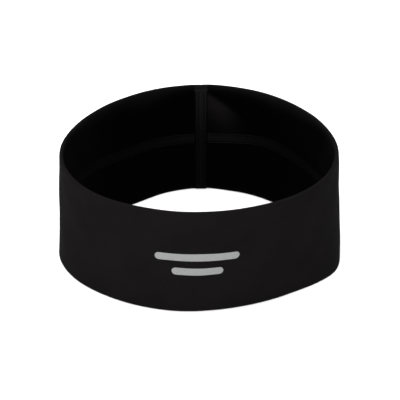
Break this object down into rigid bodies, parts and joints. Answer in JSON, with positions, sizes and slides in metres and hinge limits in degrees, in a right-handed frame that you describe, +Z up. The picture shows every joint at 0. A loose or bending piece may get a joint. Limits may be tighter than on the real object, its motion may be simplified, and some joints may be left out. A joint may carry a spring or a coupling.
{
  "type": "sports headband",
  "caption": "Double-layer stretch jersey headband, folded at both rims, seamed inside and at the back, with a small reflective mark.",
  "frame": {"origin": "on the ground, under the middle of the band's box", "axes": "+X to the right of someone who looks at the mark, -Y out of the mark at the front, +Z up out of the ring"},
  "size_m": [0.168, 0.1586, 0.07],
  "materials": {
    "jersey": "matt black stretch jersey with a fine knit",
    "thread": "black textured polyester sewing thread",
    "print": "thin light grey reflective transfer film"
  },
  "bodies": {
    "root": {"jersey_strip": "jersey", "long_seam_needle_thread_upper": "thread", "long_seam_needle_thread_lower": "thread", "long_seam_cover_thread": "thread", "long_seam_looper_thread": "thread", "back_seam_needle_thread_left": "thread", "back_seam_needle_thread_right": "thread", "back_seam_cover_thread": "thread", "back_seam_looper_thread": "thread", "back_seam_tack_top": "thread", "back_seam_tack_bottom": "thread", "emblem_bar_upper": "print", "emblem_bar_lower": "print"}
  },
  "joints": []
}
